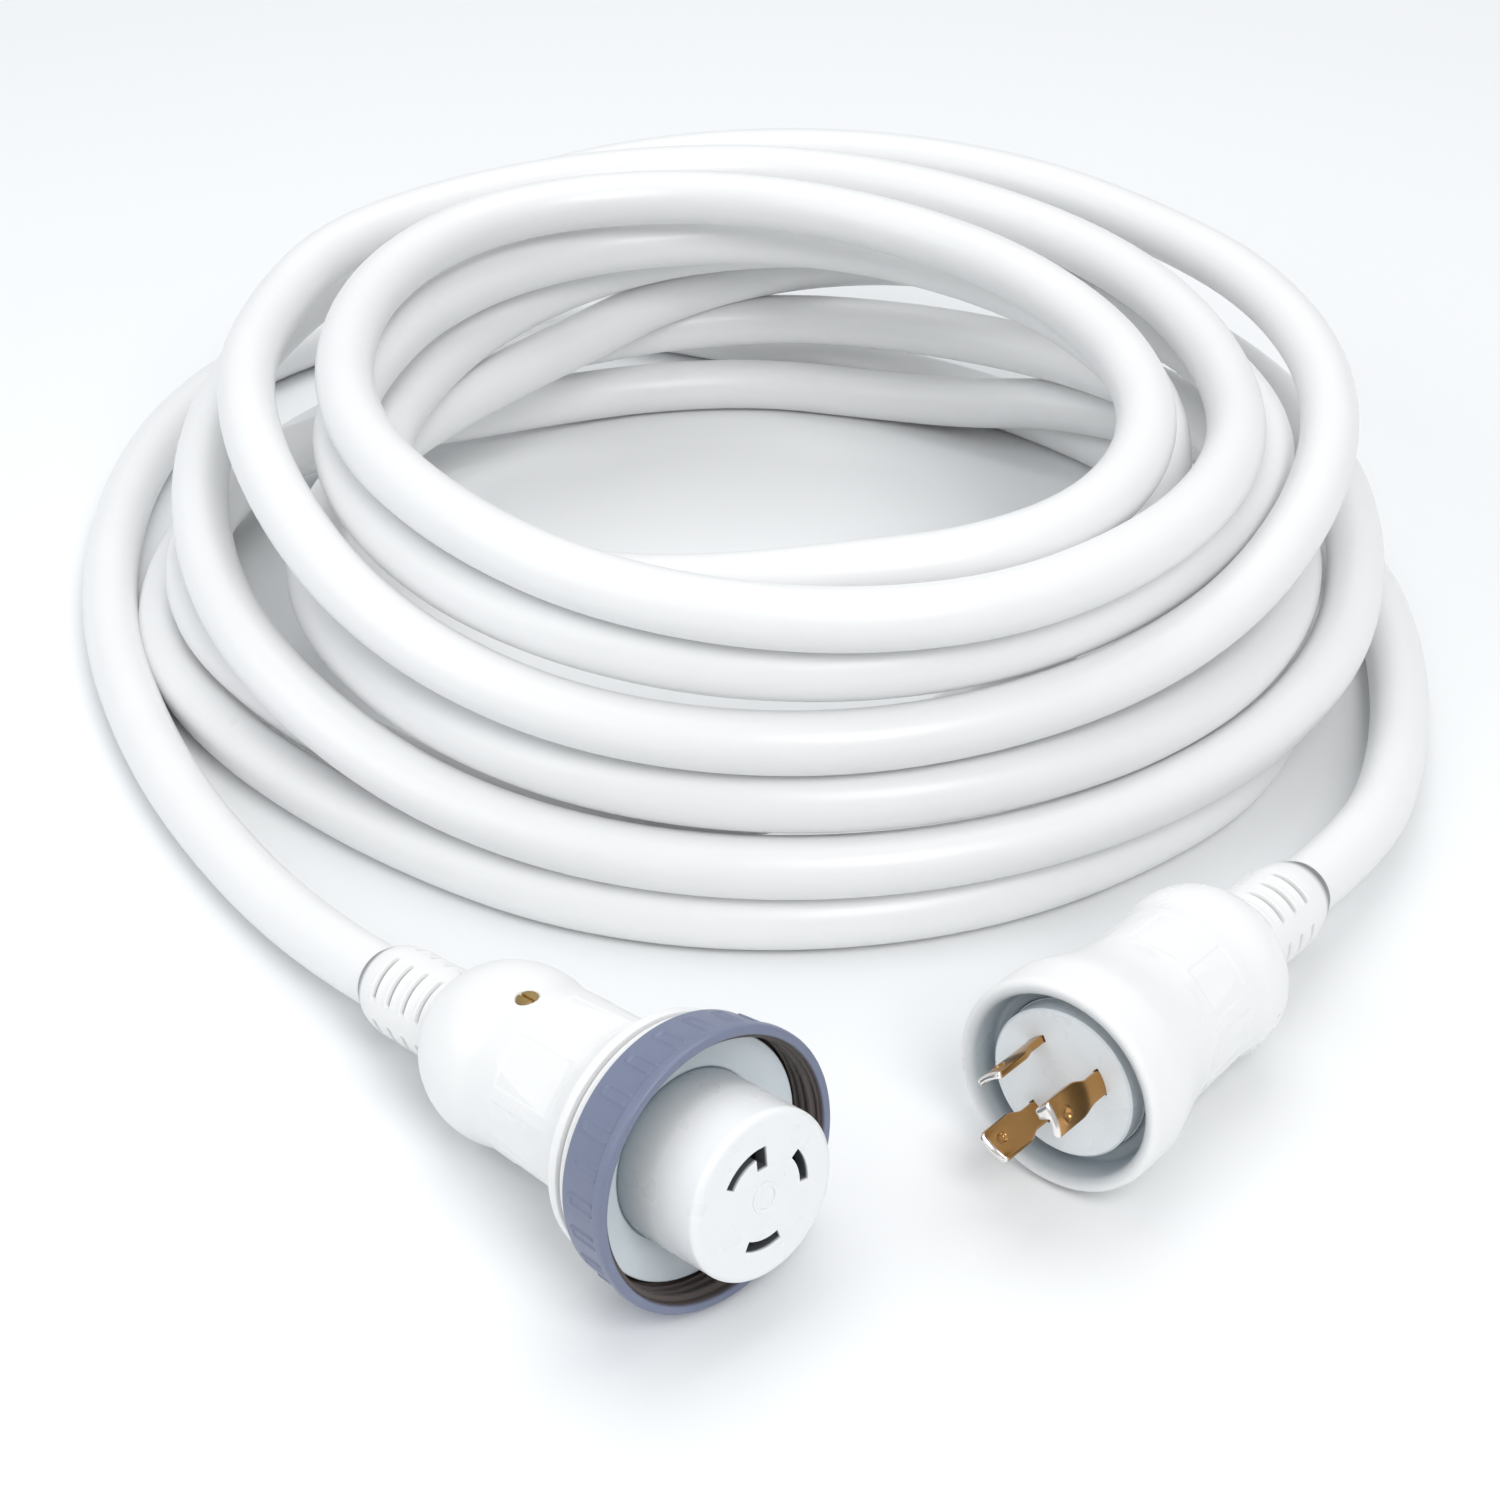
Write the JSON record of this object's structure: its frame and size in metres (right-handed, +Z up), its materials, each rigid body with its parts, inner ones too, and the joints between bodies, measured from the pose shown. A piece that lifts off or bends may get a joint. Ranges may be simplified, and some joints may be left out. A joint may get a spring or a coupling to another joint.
{
  "type": "shore power cord",
  "caption": "White shore power cord: locking connector with threaded ring at one end, twist-lock plug with curved blades at the other, cable coiled behind.",
  "frame": {"origin": "on the floor, under the middle of the two connectors' common bounding box", "axes": "+Z up; +X from the connector towards the plug; the coil of cable lies towards +Y"},
  "size_m": [0.4286, 0.5314, 0.109],
  "materials": {
    "shell_white": "satin moulded white vinyl",
    "insulator_white": "smooth moulded white nylon",
    "cable_jacket": "satin white vinyl jacket",
    "ring_plastic": "moulded blue-grey plastic",
    "gasket_rubber": "soft pale grey seal",
    "carrier_black": "matte moulded insulator",
    "contact_brass": "bright stamped brass with bare tips",
    "screw_brass": "slotted brass",
    "screw_steel": "plated steel",
    "clamp_nylon": "matte nylon",
    "wire_black": "black insulation",
    "wire_white": "white insulation",
    "wire_green": "green insulation"
  },
  "bodies": {
    "cordset": {"connector_nose": "insulator_white", "connector_flange": "shell_white", "sealing_gasket": "gasket_rubber", "retaining_flange": "shell_white", "connector_housing": "shell_white", "connector_boot": "shell_white", "contact_carrier": "carrier_black", "connector_line_contact": "contact_brass", "connector_neutral_contact": "contact_brass", "connector_ground_contact": "contact_brass", "connector_terminal_screws": "screw_steel", "connector_housing_screws": "screw_brass", "connector_clamp_upper": "clamp_nylon", "connector_clamp_lower": "clamp_nylon", "connector_clamp_screws": "screw_steel", "connector_line_wire": "wire_black", "connector_neutral_wire": "wire_white", "connector_ground_wire": "wire_green", "connector_cable_end": "cable_jacket", "plug_housing": "shell_white", "plug_boot": "shell_white", "plug_face": "insulator_white", "plug_line_blade": "contact_brass", "plug_neutral_blade": "contact_brass", "plug_ground_blade": "contact_brass", "plug_terminal_screws": "screw_steel", "plug_housing_screws": "screw_brass", "plug_clamp_upper": "clamp_nylon", "plug_clamp_lower": "clamp_nylon", "plug_clamp_screws": "screw_steel", "plug_line_wire": "wire_black", "plug_neutral_wire": "wire_white", "plug_ground_wire": "wire_green", "plug_cable_end": "cable_jacket", "connector_tail": "cable_jacket", "cable_coil": "cable_jacket", "plug_tail": "cable_jacket"},
    "ring": {"locking_ring": "ring_plastic"}
  },
  "joints": [
    {"name": "ring_turn", "type": "hinge", "parent": "cordset", "child": "ring", "pos_m": [-0.0394, -0.04843, 0.03542], "axis": [0.6747, -0.721, 0.1582], "continuous": true}
  ]
}
